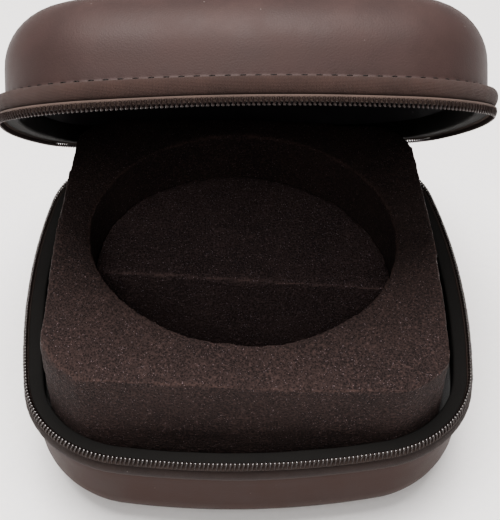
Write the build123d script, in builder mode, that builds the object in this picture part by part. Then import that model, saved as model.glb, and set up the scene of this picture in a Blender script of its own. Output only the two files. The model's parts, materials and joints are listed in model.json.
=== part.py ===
from build123d import *
from math import cos, radians, sin, sqrt
import os

# Zipped hard-shell case for folded headphones, standing open, with its foam insert.
# Millimetres. +Z is up, +X right, -Y the front where the zip opens, +Y the hinge.
# The origin is the centre of the flat underside.
# Both halves are drawn from the same functions: each half has a plane on its zip line,
# whose own +Z points into that half, away from the other one.

# Footprint, taken along the tips of the zip teeth
half_width = 80.0
half_depth = 80.9
side_bow = 9.6  # how far the front and the two sides bulge past their corners
bulge_middle = 2.7  # where along Y the sides are widest
corner_radius = 38.7

# Heights, from the zip line
base_depth = 44.0
lid_depth = 36.0
zip_gap = 0.4  # between the two rows of teeth when the case is shut
open_angle = 41.5  # how far the lid stands open at rest

# The moulded wall, from the outside in
wall_inset = 0.6  # outer face of the wall, inside the line of the teeth
skin = 0.8
core = 3.1
lining = 0.5
wall = skin + core + lining
base_round = 17.0  # along the lower edge of the base
lid_round = 19.0  # along the upper edge of the lid
inner_round = 12.0  # same edges, inside the foam core
rim_drop = 2.4  # the wall stops this far short of the zip line

# Fabric trim and zip
binding = 0.5
binding_leg = 9.0
tape = 0.7
tape_top = 1.6
tape_foot = 8.0
coil_outset = 1.0
coil_inset = 0.6
coil_height = 2.85
band_outset = 1.2
band_top = 2.9
band_foot = 8.1
band_round = 0.9
stitch_pitch = 4.3
stitch_length = 2.6
stitch_width = 0.5
stitch_depth = 0.35
stitch_drop = 8.9

# Hinge: a fabric spine outside and a gusset inside, both across the straight back
spine_half = 36.5
spine_foot = 8.0
gusset_half = 35.0
gusset_inset = 3.4  # from the line of the teeth to the gusset's sewn edge
gusset_thick = 0.5
gusset_slack = 1.2  # how far the gusset hangs towards the inside at rest
hinge_y = half_depth - wall_inset + tape / 2
hinge_z = base_depth + zip_gap / 2

# Foam insert, hand cut and set a little askew
foam_half_width = 67.3
foam_half_depth = 69.1
foam_bow = 1.7
foam_corner = 18.0
foam_middle = -0.6
foam_turn = -1.4
foam_rise = 24.3  # top of the block above the zip line, at the middle
foam_tilt = 1.9  # the left side is cut higher than the right
foam_clearance = 0.4  # to the shut lid
well_radius = 54.8
well_x = -0.7
well_y = 2.9
step_rise = 4.2
step_tilt = 4.2
step_front = -2.9
step_turn = -2.2
step_gap = 0.1  # between the half-moon and the wall of the well

# Zip sliders, parked where the rounded back corners begin
coil_start_x = 38.0  # the base coil starts beside the spine
lid_coil_reach = 24.5  # the lid coil starts this far round the corner, clear of the slider
slider_angle = 60.0
outer_plate_round = 2.0
inner_plate_round = 1.5
plate_length = 10.0
plate_height = 7.0
plate_thick = 1.2
outer_plate_gap = 1.6
inner_plate_gap = 1.4
inner_plate_thick = 1.0
inner_plate_low = -1.6
inner_plate_high = 1.6
post_at = 3.4
post_length = 1.5
post_low = 0.4
post_high = 1.6
crown_out = 5.0  # the crown's bar, out from the line of the teeth
crown_bar = 0.6
crown_span = 5.6
crown_leg = 1.0
eye_radius = 2.0
eye_bore = 0.8
eye_width = 3.0
pull_length = 23.0
pull_width = 5.0
pull_thick = 1.3
pull_round = 2.0

base_plane = Plane(origin=(0, 0, base_depth), x_dir=(-1, 0, 0), z_dir=(0, 0, -1))
hinge_place = Location((0, hinge_y, hinge_z))
lid_turn = hinge_place * Location((0, 0, 0), (-open_angle, 0, 0)) * hinge_place.inverse()
shut_lid_plane = Plane.XY.offset(base_depth + zip_gap)
lid_plane = Plane(lid_turn * shut_lid_plane.location)


# The outline's arcs: front and sides from their chord and bow, and the corners tangent to them
front_x = half_width - side_bow
front_y = side_bow - half_depth
front_radius = (front_x**2 + side_bow**2) / (2 * side_bow)
side_radius = ((bulge_middle - front_y) ** 2 + side_bow**2) / (2 * side_bow)
front_middle = Vector(0, front_radius - half_depth)
side_middle = Vector(half_width - side_radius, bulge_middle)
back_corner_y = half_depth - corner_radius
back_corner_x = side_middle.X + sqrt(
    (side_radius - corner_radius) ** 2 - (back_corner_y - bulge_middle) ** 2
)
back_corner = Vector(back_corner_x, back_corner_y)


def tangent_corner():
    """Middle of the front corner's arc, which touches the front arc and the side arc from inside."""
    between = side_middle - front_middle
    to_front = front_radius - corner_radius
    to_side = side_radius - corner_radius
    along = (to_front**2 - to_side**2 + between.length**2) / (2 * between.length)
    across = sqrt(to_front**2 - along**2)
    unit = between.normalized()
    return front_middle + unit * along + Vector(unit.Y, -unit.X) * -across


front_corner = tangent_corner()


def footprint(inset):
    """The case's outline, drawn in by inset: every arc keeps its middle."""
    to_front = (front_corner - front_middle).normalized()
    to_side = (front_corner - side_middle).normalized()
    to_back = (back_corner - side_middle).normalized()
    straight_back = Vector(0, 1)
    front = Vector(0, inset - half_depth)
    front_end = front_middle + to_front * (front_radius - inset)
    side_start = side_middle + to_side * (side_radius - inset)
    side_end = side_middle + to_back * (side_radius - inset)
    back_start = back_corner + straight_back * (corner_radius - inset)
    front_turn = front_corner + (to_front + to_side).normalized() * (corner_radius - inset)
    back_turn = back_corner + (to_back + straight_back).normalized() * (corner_radius - inset)
    front_way = (front + front_end) / 2 - front_middle
    with BuildSketch(mode=Mode.PRIVATE) as outline:
        with BuildLine():
            front_side = front_middle + front_way.normalized() * (front_radius - inset)
            ThreePointArc(front, front_side, front_end)
            ThreePointArc(front_end, front_turn, side_start)
            ThreePointArc(side_start, (half_width - inset, bulge_middle), side_end)
            ThreePointArc(side_end, back_turn, back_start)
            Line(back_start, (0, half_depth - inset))
            mirror(about=Plane.YZ)
        make_face()
    return outline.sketch


def filled_half(plane, inset, mouth, depth, rounding):
    """A half's solid from mouth to depth, rounded along its closed end."""
    with BuildPart(mode=Mode.PRIVATE) as filled:
        with BuildSketch(plane.offset(mouth)):
            add(footprint(inset))
        extrude(amount=depth - mouth)
        closed_end = filled.faces().sort_by(Axis(plane.origin, plane.z_dir))[-1]
        fillet(closed_end.edges(), rounding)
    return filled.part


def back_gap(across, from_y):
    """Sketch of the part of the rim that a ring leaves out at the back."""
    with BuildSketch(mode=Mode.PRIVATE) as gap:
        with Locations((0, from_y)):
            Rectangle(2 * across, half_depth, align=(Align.CENTER, Align.MIN))
    return gap.sketch


def half_pieces(side, plane, depth, outer_round, coil_gap):
    """The eight pieces that each half of the case is made of."""
    depths = (depth, depth - skin, depth - skin - core, depth - wall)
    rounds = (outer_round, outer_round - skin, inner_round, inner_round - lining)
    insets = (wall_inset, wall_inset + skin, wall_inset + skin + core, wall_inset + wall)
    solids = [filled_half(plane, i, rim_drop, d, r) for i, d, r in zip(insets, depths, rounds)]

    with BuildPart() as cover:
        add(solids[0])
        add(solids[1], mode=Mode.SUBTRACT)

    with BuildPart() as foam_core:
        add(solids[1])
        add(solids[2], mode=Mode.SUBTRACT)

    with BuildPart() as inner_cloth:
        add(solids[2])
        add(solids[3], mode=Mode.SUBTRACT)

    # Folded over the rim: a cap on the wall's edge and a leg down its inner face
    with BuildPart() as rim_binding:
        with BuildSketch(plane.offset(rim_drop - binding)):
            add(footprint(wall_inset))
            add(footprint(wall_inset + wall + binding), mode=Mode.SUBTRACT)
        extrude(amount=binding)
        with BuildSketch(plane.offset(rim_drop)):
            add(footprint(wall_inset + wall))
            add(footprint(wall_inset + wall + binding), mode=Mode.SUBTRACT)
        extrude(amount=binding_leg - rim_drop)

    with BuildPart() as zip_tape:
        with BuildSketch(plane.offset(tape_top)):
            add(footprint(wall_inset - tape))
            add(footprint(wall_inset), mode=Mode.SUBTRACT)
            add(back_gap(spine_half + 0.2, half_depth / 2), mode=Mode.SUBTRACT)
        extrude(amount=tape_foot - tape_top)

    # The coil is sewn over the tape's edge, which shows below it
    with BuildPart() as zip_coil:
        with BuildSketch(plane):
            add(footprint(-coil_outset))
            add(footprint(coil_inset), mode=Mode.SUBTRACT)
            add(coil_gap, mode=Mode.SUBTRACT)
        extrude(amount=coil_height)
        add(zip_tape.part, mode=Mode.SUBTRACT)

    with BuildPart() as trim_band:
        with BuildSketch(plane.offset(band_top)):
            add(footprint(-band_outset))
            add(footprint(wall_inset - tape), mode=Mode.SUBTRACT)
        extrude(amount=band_foot - band_top)
        ends = trim_band.faces().sort_by(Axis(plane.origin, plane.z_dir))
        fillet(ends[0].outer_wire().edges() + ends[-1].outer_wire().edges(), band_round)
        add(zip_coil.part, mode=Mode.SUBTRACT)

    seam = footprint(wall_inset - 0.05).face().outer_wire()
    stitch_count = round(seam.length / stitch_pitch)
    with BuildPart() as stitching:
        for number in range(stitch_count):
            place = seam.location_at(number / stitch_count)
            along = seam.tangent_at(number / stitch_count)
            outward = Vector(along.Y, -along.X, 0)
            if outward.dot(place.position) < 0:
                outward = -outward
            sunk = place.position + Vector(0, 0, stitch_drop)
            local = Plane(origin=sunk, x_dir=along, z_dir=outward)
            with Locations(plane.location * local.location):
                Box(
                    stitch_length,
                    stitch_width,
                    stitch_depth,
                    align=(Align.CENTER, Align.CENTER, Align.MIN),
                )

    names = ("cover", "core", "lining", "rim_binding", "zip_tape", "zip_coil", "trim_band", "stitching")
    made = (cover, foam_core, inner_cloth, rim_binding, zip_tape, zip_coil, trim_band, stitching)
    for name, piece in zip(names, made):
        piece.part.label = side + "_" + name
    return [piece.part for piece in made]


def bent_strip(across, first, bend, last, thick):
    """A strip of cloth bent once along X, given by its middle line in the YZ plane."""
    with BuildPart(mode=Mode.PRIVATE) as strip:
        with BuildSketch(Plane.YZ.offset(-across)):
            with BuildLine():
                Polyline(first, bend, last)
                offset(amount=thick / 2, side=Side.BOTH)
            make_face()
        extrude(amount=2 * across)
    return strip.part


def on_lid(y, height):
    """YZ place, with the lid at rest, of a point of the shut lid, by its height over the lid's zip line."""
    point = (lid_turn * Location((0, y, base_depth + zip_gap + height))).position
    return (point.Y, point.Z)


with BuildPart() as hinge_spine:
    add(
        bent_strip(
            spine_half,
            (hinge_y, base_depth - spine_foot),
            (hinge_y, hinge_z),
            on_lid(hinge_y, spine_foot),
            tape,
        )
    )
hinge_spine.part.label = "hinge_spine"

gusset_y = half_depth - gusset_inset
gusset_foot = rim_drop - binding
gusset_first = (gusset_y, base_depth - gusset_foot)
gusset_last = on_lid(gusset_y, gusset_foot)
gusset_middle_y = (gusset_first[0] + gusset_last[0]) / 2
gusset_middle_z = (gusset_first[1] + gusset_last[1]) / 2
gusset_bend = (gusset_middle_y - gusset_slack, gusset_middle_z)
with BuildPart() as hinge_gusset:
    add(bent_strip(gusset_half, gusset_first, gusset_bend, gusset_last, gusset_thick))
    # Its edges end on the two rim bindings
    with BuildSketch(Plane.XY.offset(base_depth - gusset_foot)):
        with Locations((0, gusset_y)):
            Rectangle(3 * gusset_half, 10)
    extrude(amount=-5, mode=Mode.SUBTRACT)
    with BuildSketch(lid_plane.offset(gusset_foot)):
        with Locations((0, gusset_y)):
            Rectangle(3 * gusset_half, 10)
    extrude(amount=5, mode=Mode.SUBTRACT)
hinge_gusset.part.label = "hinge_gusset"


# Foam insert, squeezed in by the wall at the bottom and by the shut lid at the top
floor_z = wall
foam_top = base_depth + foam_rise
well_middle = (well_x, well_y)
tall = 2 * base_depth
hollow_inset = wall_inset + wall + binding
base_hollow = filled_half(
    base_plane,
    hollow_inset + step_gap,
    -tall,
    base_depth - wall,
    inner_round,
)
lid_hollow = filled_half(
    shut_lid_plane,
    hollow_inset + foam_clearance,
    -tall,
    lid_depth - wall - foam_clearance,
    inner_round - lining - foam_clearance,
)

with BuildSketch() as foam_outline:
    block_x = foam_half_width - foam_bow
    block_y = foam_half_depth - foam_bow
    with BuildLine():
        ThreePointArc((-block_x, -block_y), (0, -foam_half_depth), (block_x, -block_y))
        ThreePointArc((block_x, -block_y), (foam_half_width, 0), (block_x, block_y))
        ThreePointArc((block_x, block_y), (0, foam_half_depth), (-block_x, block_y))
        ThreePointArc((-block_x, block_y), (-foam_half_width, 0), (-block_x, -block_y))
    make_face()
    fillet(foam_outline.vertices(), foam_corner)

with BuildPart() as foam_block:
    with BuildSketch(Plane.XY.offset(floor_z)):
        with Locations(Location((0, foam_middle), foam_turn)):
            add(foam_outline.sketch)
        with Locations(well_middle):
            Circle(well_radius, mode=Mode.SUBTRACT)
    extrude(amount=tall)
    split(bisect_by=Plane(Location((0, 0, foam_top), (0, foam_tilt, 0))), keep=Keep.BOTTOM)
    add(base_hollow, mode=Mode.INTERSECT)
    add(lid_hollow, mode=Mode.INTERSECT)
foam_block.part.label = "foam_block"

# Half-moon of foam that fills the back of the well up to a step
with BuildPart() as foam_step:
    with BuildSketch(Plane.XY.offset(floor_z)):
        with Locations(well_middle):
            Circle(well_radius - step_gap)
        with Locations(Location((well_x, step_front), step_turn)):
            Rectangle(
                3 * well_radius,
                2 * well_radius,
                align=(Align.CENTER, Align.MAX),
                mode=Mode.SUBTRACT,
            )
    extrude(amount=tall)
    split(
        bisect_by=Plane(Location((well_x, 0, base_depth + step_rise), (0, step_tilt, 0))),
        keep=Keep.BOTTOM,
    )
foam_step.part.label = "foam_step"


def slider_pieces(side, hand):
    """A zip slider and its pull, which hangs from the crown; hand is -1 on the left, 1 on the right."""
    angle = radians(slider_angle)
    outward = Vector(hand * cos(angle), sin(angle), 0)
    along = Vector(-sin(angle), hand * cos(angle), 0)  # to the left, seen from inside the case
    teeth_line = Vector(hand * back_corner.X, back_corner.Y, base_depth + zip_gap / 2)
    face = Plane(origin=teeth_line + outward * corner_radius, x_dir=along, z_dir=outward)
    crown = face.offset(crown_out)
    post_x = -hand * post_at
    post_middle = (post_low + post_high) / 2 - zip_gap / 2
    post_depth = outer_plate_gap + plate_thick / 2 + inner_plate_gap + inner_plate_thick / 2
    leg_x = (crown_span - crown_leg) / 2
    bar_turn = (0, 90, 0)

    with BuildPart() as body:
        with BuildSketch(face.offset(outer_plate_gap)):
            RectangleRounded(plate_length, plate_height, outer_plate_round)
        extrude(amount=plate_thick)
        with BuildSketch(face.offset(-inner_plate_gap)):
            with Locations((0, (inner_plate_low + inner_plate_high) / 2)):
                RectangleRounded(plate_length, inner_plate_high - inner_plate_low, inner_plate_round)
        extrude(amount=-inner_plate_thick)
        with BuildSketch(face.offset(outer_plate_gap + plate_thick / 2)):
            with Locations((post_x, post_middle)):
                Rectangle(post_length, post_high - post_low)
        extrude(amount=-post_depth)
        # Crown: two legs and the bar that the pull hangs on
        with BuildSketch(face.offset(outer_plate_gap + plate_thick)):
            with Locations((-leg_x, 0), (leg_x, 0)):
                Rectangle(crown_leg, 2 * crown_bar)
        extrude(amount=crown_out + crown_bar - outer_plate_gap - plate_thick)
        with Locations(Location(crown) * Location((0, 0, 0), bar_turn)):
            Cylinder(crown_bar, crown_span)
    body.part.label = "zip_slider_" + side

    with BuildPart() as pull:
        with BuildSketch(Plane(origin=crown.origin, x_dir=outward, z_dir=along)):
            Circle(eye_radius)
        extrude(amount=eye_width / 2, both=True)
        with BuildSketch(crown.offset(-pull_thick / 2)):
            with Locations((0, -pull_length)):
                RectangleRounded(
                    pull_width,
                    pull_length - 2 * eye_radius,
                    pull_round,
                    align=(Align.CENTER, Align.MIN),
                )
            with Locations((0, -eye_radius / 2)):
                Rectangle(eye_width, 2 * eye_radius, align=(Align.CENTER, Align.MAX))
        extrude(amount=pull_thick)
        with Locations(Location(crown) * Location((0, 0, 0), bar_turn)):
            Cylinder(eye_bore, 2 * eye_width, mode=Mode.SUBTRACT)
    pull.part.label = "zip_pull_" + side
    return [body.part, pull.part]


corner_gap_y = back_corner.Y + lid_coil_reach
pieces = half_pieces("base", base_plane, base_depth, base_round, back_gap(coil_start_x, half_depth / 2))
pieces += half_pieces("lid", lid_plane, lid_depth, lid_round, back_gap(half_width, corner_gap_y))
pieces += [hinge_spine.part, hinge_gusset.part, foam_block.part, foam_step.part]
pieces += slider_pieces("left", -1) + slider_pieces("right", 1)

os.makedirs("parts", exist_ok=True)
for piece in pieces:
    export_step(piece, "parts/" + piece.label + ".step")
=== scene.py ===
import json
import math

import bmesh
import bpy
import numpy as np
from bpy.props import FloatProperty, FloatVectorProperty, IntProperty, PointerProperty
from mathutils import Matrix, Vector, noise


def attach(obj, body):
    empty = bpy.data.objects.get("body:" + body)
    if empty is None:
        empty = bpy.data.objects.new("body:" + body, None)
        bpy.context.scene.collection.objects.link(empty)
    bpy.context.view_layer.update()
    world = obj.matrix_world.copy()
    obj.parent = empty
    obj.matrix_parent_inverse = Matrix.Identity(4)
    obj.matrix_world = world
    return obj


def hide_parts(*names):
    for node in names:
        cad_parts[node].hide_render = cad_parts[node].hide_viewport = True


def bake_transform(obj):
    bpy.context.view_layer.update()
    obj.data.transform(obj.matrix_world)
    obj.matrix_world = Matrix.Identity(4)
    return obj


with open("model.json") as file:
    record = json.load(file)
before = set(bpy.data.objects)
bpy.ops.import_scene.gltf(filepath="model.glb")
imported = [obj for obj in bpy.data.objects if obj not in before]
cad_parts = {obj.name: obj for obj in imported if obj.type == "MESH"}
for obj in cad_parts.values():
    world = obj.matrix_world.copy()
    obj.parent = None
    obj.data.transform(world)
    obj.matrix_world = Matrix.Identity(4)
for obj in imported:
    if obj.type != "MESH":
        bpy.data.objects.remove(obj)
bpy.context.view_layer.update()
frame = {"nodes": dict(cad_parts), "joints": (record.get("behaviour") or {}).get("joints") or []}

bl_info = {
    "name": "Headphone case",
    "version": (1, 0, 0),
    "blender": (4, 5, 0),
    "location": "View3D > Sidebar > Case",
    "description": "Makes a zipped hard case with its foam insert over its CAD frame",
    "category": "Object",
}

hinge = next(j for j in frame["joints"] if j["name"] == "lid_hinge")
hinge_point = np.array(hinge["pos_m"], float)
open_angle = -math.radians(hinge["range_deg"][0])

# Where the bands are sewn on, from the zip line. Then, from the middle of the back along
# the outline, where the tapes stop and how far the cloth hinge reaches.
seam = 0.0091
tape_end = 0.0367
hinge_half = 0.0365


# ---------------------------------------------------------------- sizes and colours


def length(name, description, default):
    return FloatProperty(name=name, description=description, default=default, unit="LENGTH", precision=4)


def colour(name, description, default):
    return FloatVectorProperty(
        name=name, description=description, default=default, subtype="COLOR", size=3, min=0, max=1
    )


class CaseSizes(bpy.types.PropertyGroup):
    half_width: length("Half width", "From the middle to the side, along the tips of the teeth", 0.080)
    half_depth: length("Half depth", "From the middle to the front, along the tips of the teeth", 0.0809)
    side_bow: length("Side bow", "How far the front and sides bulge past their corners", 0.0096)
    bulge_middle: length("Bulge middle", "Where the sides are widest, back from the middle", 0.0027)
    corner_radius: length("Corner radius", "Radius of the four corners along the teeth", 0.0387)
    base_depth: length("Base depth", "From the zip line down to the underside", 0.044)
    lid_depth: length("Lid depth", "From the zip line to the lid's top", 0.036)
    zip_gap: length("Zip gap", "Between the two rows of teeth when shut", 0.0004)
    wall_inset: length("Wall inset", "Outer face of the wall, inside the teeth", 0.0006)
    skin: length("Skin", "Thickness of the soft-touch skin", 0.0008)
    core: length("Core", "Thickness of the moulded foam core", 0.0031)
    lining: length("Lining", "Thickness of the inner cloth", 0.0005)
    base_round: length("Base rounding", "Along the base's lower edge", 0.0205)
    lid_round: length("Lid rounding", "Along the lid's upper edge", 0.019)
    inner_round: length("Inner rounding", "Same edges, inside the core", 0.012)
    rim_drop: length("Rim drop", "Where the wall stops, from the zip line", 0.0024)
    base_lean: length("Base lean", "How far the base's wall leans in", 0.0012)
    lid_lean: length("Lid lean", "How far the lid's skin steps in above its band", 0.0009)
    lid_crown: length("Lid crown", "How far the lid's top swells in its middle", 0.0008)
    lid_arch: length("Lid arch", "How far the lid's front edge is bent up in its middle", 0.0013)
    tooth_pitch: length("Tooth pitch", "From one zip tooth to the next", 0.0014)
    thread: length("Thread", "Width of the sewing thread", 0.0005)
    foam_voxel: length("Foam voxel", "Grid that the foam pieces are remeshed on", 0.0011)
    foam_wave: length("Foam wave", "How far the hand-cut faces wander", 0.0007)
    stitches: IntProperty(
        name="Stitches", description="Stitches round each half", default=129, min=20, max=400
    )


class CaseColours(bpy.types.PropertyGroup):
    skin: colour("Skin", "Soft-touch outer skin", (0.0238, 0.0133, 0.0122))
    lining: colour("Lining", "Inner cloth", (0.0130, 0.0115, 0.0135))
    binding: colour("Binding", "Cloth folded over the rims", (0.0027, 0.0024, 0.0021))
    tape: colour("Tape", "Woven tape of the zip", (0.060, 0.041, 0.034))
    teeth: colour("Teeth", "Nylon coil", (0.0036, 0.0022, 0.0020))
    band: colour("Band", "Trim band beside the zip", (0.0140, 0.0076, 0.0064))
    thread: colour("Thread", "Sewing thread", (0.0060, 0.0036, 0.0032))
    foam: colour("Foam", "Open-cell insert", (0.0180, 0.0112, 0.0104))
    core: colour("Core", "Moulded foam inside the walls", (0.020, 0.020, 0.020))
    metal: colour("Metal", "Painted zip sliders", (0.009, 0.0082, 0.0080))


# ---------------------------------------------------------------- the case's outline


class Outline:
    """The case's rounded outline. Every point knows its arc's middle, so it can be drawn in or out."""

    def __init__(self, sizes):
        corner, bow = sizes.corner_radius, sizes.side_bow
        front_x, front_y = sizes.half_width - bow, bow - sizes.half_depth
        front_radius = (front_x**2 + bow**2) / (2 * bow)
        side_radius = ((sizes.bulge_middle - front_y) ** 2 + bow**2) / (2 * bow)
        front = np.array((0, front_radius - sizes.half_depth))
        side = np.array((sizes.half_width - side_radius, sizes.bulge_middle))
        back_y = sizes.half_depth - corner
        back_x = side[0] + math.sqrt((side_radius - corner) ** 2 - (back_y - side[1]) ** 2)
        between = side - front
        to_front, to_side = front_radius - corner, side_radius - corner
        span = np.linalg.norm(between)
        along = (to_front**2 - to_side**2 + span**2) / (2 * span)
        unit = between / span
        off = math.sqrt(to_front**2 - along**2)
        front_corner = front + unit * along - np.array((unit[1], -unit[0])) * off
        back_angle = math.atan2(back_y - side[1], back_x - side[0])
        side_angle = math.atan2(*(front_corner - side)[::-1])
        front_angle = math.atan2(*(front_corner - front)[::-1])
        # Right half, from the middle of the front round to the straight back
        self.arcs = [
            (front, front_radius, -math.pi / 2, front_angle),
            (front_corner, corner, front_angle, side_angle),
            (side, side_radius, side_angle, back_angle),
            (np.array((back_x, back_y)), corner, back_angle, math.pi / 2),
        ]
        self.half_depth = sizes.half_depth
        self.straight = back_x
        self.half_length = sum(r * (b - a) for _, r, a, b in self.arcs) + back_x

    def at(self, way):
        """Arc middle, outward normal and radius, this far from the front's middle (left if negative)."""
        side, way = (-1 if way < 0 else 1), abs(way)
        for middle, radius, start, end in self.arcs:
            if way <= radius * (end - start):
                angle = start + way / radius
                normal = (side * math.cos(angle), math.sin(angle))
                return (side * middle[0], middle[1]), normal, radius
            way -= radius * (end - start)
        return (side * max(self.straight - way, 0), 0), (0, 1), self.half_depth

    def ring(self, count, gap=None):
        """Evenly spaced samples, counter-clockwise. With a gap they stop that far from the back's middle."""
        if gap is None:
            ways = np.linspace(-self.half_length, self.half_length, count, endpoint=False)
        else:
            ways = np.linspace(gap - self.half_length, self.half_length - gap, count)
        found = [self.at(w) for w in ways]
        return Ring(*(np.array(part, float) for part in zip(*found)), closed=gap is None)


class Ring:
    """Samples of the outline, which give its points at any inset."""

    def __init__(self, middles, normals, radii, closed):
        self.middles, self.normals, self.radii, self.closed = middles, normals, radii, closed

    def points(self, inset):
        inset = np.broadcast_to(inset, self.radii.shape)
        return self.middles + self.normals * (self.radii - inset)[:, None]

    def fractions(self, inset):
        """How far round each sample is, from 0 to 1, along the outline at this inset."""
        points = self.points(inset)
        steps = np.linalg.norm(np.roll(points, -1, 0) - points, axis=1)
        return np.concatenate(((0,), np.cumsum(steps)))[:-1] / steps.sum(), steps.sum()


class Half:
    """One half of the case: heights run from its zip line into it."""

    def __init__(self, side, sizes):
        self.side, self.sizes = side, sizes
        self.is_lid = side == "lid"
        self.depth = sizes.lid_depth if self.is_lid else sizes.base_depth
        self.rounding = sizes.lid_round if self.is_lid else sizes.base_round
        self.crown = sizes.lid_crown if self.is_lid else 0.0
        # How far the wall leans in, and between which heights
        self.lean = sizes.lid_lean if self.is_lid else sizes.base_lean
        self.lean_from, self.lean_to = (0.007, 0.0102) if self.is_lid else (0.0095, 0.023)

    def leaning(self, height):
        """How much further in the outer wall is at this height than at the zip."""
        part = min(max((height - self.lean_from) / (self.lean_to - self.lean_from), 0), 1)
        return self.lean * part * part * (3 - 2 * part)

    def place(self, points):
        """Where points (x, y, height into the half) are with the case standing open."""
        points = np.array(points, float)
        x, y, h = points.T
        if not self.is_lid:
            return np.stack((x, y, self.sizes.base_depth - h), 1)
        across = np.clip(1 - (x / (0.9 * self.sizes.half_width)) ** 2, 0, 1) ** 1.5
        forward = np.clip(-y / self.sizes.half_depth, 0, 1) ** 3
        fading = np.clip(1 - h / self.depth, 0, 1)
        h = h + self.sizes.lid_arch * across * forward * fading
        back = y - hinge_point[1]
        up = self.sizes.base_depth + self.sizes.zip_gap + h - hinge_point[2]
        turned_y = back * math.cos(open_angle) + up * math.sin(open_angle)
        turned_z = up * math.cos(open_angle) - back * math.sin(open_angle)
        return np.stack((x, hinge_point[1] + turned_y, hinge_point[2] + turned_z), 1)


# ---------------------------------------------------------------- mesh helpers


def placed(name, data):
    """An object in the scene, at the origin."""
    thing = bpy.data.objects.new(name, data)
    bpy.context.scene.collection.objects.link(thing)
    return thing


def turn_outward(mesh):
    work = bmesh.new()
    work.from_mesh(mesh)
    bmesh.ops.recalc_face_normals(work, faces=work.faces)
    work.to_mesh(mesh)
    work.free()


def mark_edges(mesh, values):
    """Stores how much each point is a rubbed or cut edge, which materials read; on the foam it marks where a
    painted highlight goes.
    """
    layer = mesh.attributes.new("edge", "FLOAT", "POINT")
    layer.data.foreach_set("value", np.array(values, np.float32))


def modified_mesh(thing):
    """The plain mesh that an object's modifiers make of it. The modifiers are then taken off."""
    graph = bpy.context.evaluated_depsgraph_get()
    graph.update()
    mesh = bpy.data.meshes.new_from_object(thing.evaluated_get(graph))
    thing.modifiers.clear()
    return mesh


def node_copy(name, node, flatten=False):
    """A copy of a CAD node with its doubles merged and, if asked, its flat faces joined up."""
    work = bmesh.new()
    work.from_mesh(frame["nodes"][node].data)
    bmesh.ops.remove_doubles(work, verts=work.verts, dist=1e-6)
    if flatten:
        bmesh.ops.dissolve_limit(work, angle_limit=math.radians(1), verts=work.verts, edges=work.edges)
    mesh = bpy.data.meshes.new(name)
    work.to_mesh(mesh)
    work.free()
    mesh.materials.clear()
    return placed(name, mesh)


def new_piece(name, points, faces, uvs, edge=None):
    """An object from world points; uvs has one pair for each corner of each face."""
    mesh = bpy.data.meshes.new(name)
    mesh.from_pydata([tuple(p) for p in points], [], faces)
    layer = mesh.uv_layers.new(name="surface")
    layer.data.foreach_set("uv", np.array(uvs, np.float32).ravel())
    if edge is not None:
        mark_edges(mesh, edge)
    turn_outward(mesh)
    mesh.shade_smooth()
    mesh.update()
    return placed(name, mesh)


def finish_piece(piece, body, material, slot, *nodes):
    """Gives a piece its material, the CAD nodes it stands for and its body. Its record slot is not used."""
    piece.data.materials.clear()
    piece.data.materials.append(material)
    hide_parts(*nodes)
    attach(piece, body)
    return piece


def quads_between(rows, ring, across, fractions, total):
    """Faces between pairs of rows of points round a ring, and their surface coordinates."""
    count = len(ring.radii)
    faces, uvs = [], []
    for (upper, lower), (a, b) in zip(rows, across):
        for i in range(count if ring.closed else count - 1):
            j = (i + 1) % count
            faces.append((upper * count + i, upper * count + j, lower * count + j, lower * count + i))
            u, v = fractions[i] * total, fractions[j] * total if j else total
            uvs += [(u, a), (v, a), (v, b), (u, b)]
    return faces, uvs


def swept_ring(name, half, ring, profile, wave=None):
    """A closed profile of (inset, height) carried round the outline; wave(fractions, s) adds to the inset."""
    count, steps = len(ring.radii), len(profile)
    fractions, total = ring.fractions(0)
    if not ring.closed:
        total = total * (count - 1) / count
    points, across = [], [0.0]
    for k, (inset, height) in enumerate(profile):
        flat = ring.points(inset + (wave(fractions, k / steps) if wave else 0))
        points.append(half.place(np.column_stack((flat, np.full(count, height)))))
        across.append(across[-1] + math.dist(profile[k], profile[(k + 1) % steps]))
    rows = [(k, (k + 1) % steps) for k in range(steps)]
    faces, uvs = quads_between(rows, ring, list(zip(across, across[1:])), fractions, total)
    if not ring.closed:
        for end in (0, count - 1):
            faces.append(tuple(k * count + end for k in range(steps)))
            uvs += [(0, 0)] * steps
    return new_piece(name, np.concatenate(points), faces, uvs)


def shell(name, half, ring, outer, inner, pucker=None):
    """A cup with an outer and an inner face. Each is rows of (inset, height, scale, wear), rim first."""
    count = len(ring.radii)
    fractions, total = ring.fractions(half.sizes.wall_inset)
    rows = outer[::-1] + inner
    points, edge = [], []
    for k, (inset, height, scale, wear) in enumerate(rows):
        shift = pucker(fractions, height) if pucker and k < len(outer) else 0
        flat = ring.points(inset + shift) * scale
        points.append(half.place(np.column_stack((flat, np.full(count, height)))))
        edge += [wear] * count
    points.append(half.place([(0, 0, rows[0][1]), (0, 0, rows[-1][1])]))
    points = np.concatenate(points)
    reach = [0.0]
    for a, b in zip(rows, rows[1:]):
        reach.append(reach[-1] + math.dist(a[:2], b[:2]) + abs(b[2] - a[2]) * half.sizes.half_width)
    reach = np.abs(np.array(reach) - reach[len(outer) - 1])
    pairs = [(k, k + 1) for k in range(len(rows) - 1)]
    faces, uvs = quads_between(pairs, ring, list(zip(reach, reach[1:])), fractions, total)
    for k, tip in ((0, len(points) - 2), (len(rows) - 1, len(points) - 1)):
        for i in range(count):
            faces.append((k * count + i, k * count + (i + 1) % count, tip))
            u = fractions[i] * total
            uvs += [(u, reach[k]), (u + total / count, reach[k]), (u, reach[k] + 0.01)]
    return new_piece(name, points, faces, uvs, edge + [0.0, 0.0])


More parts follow.
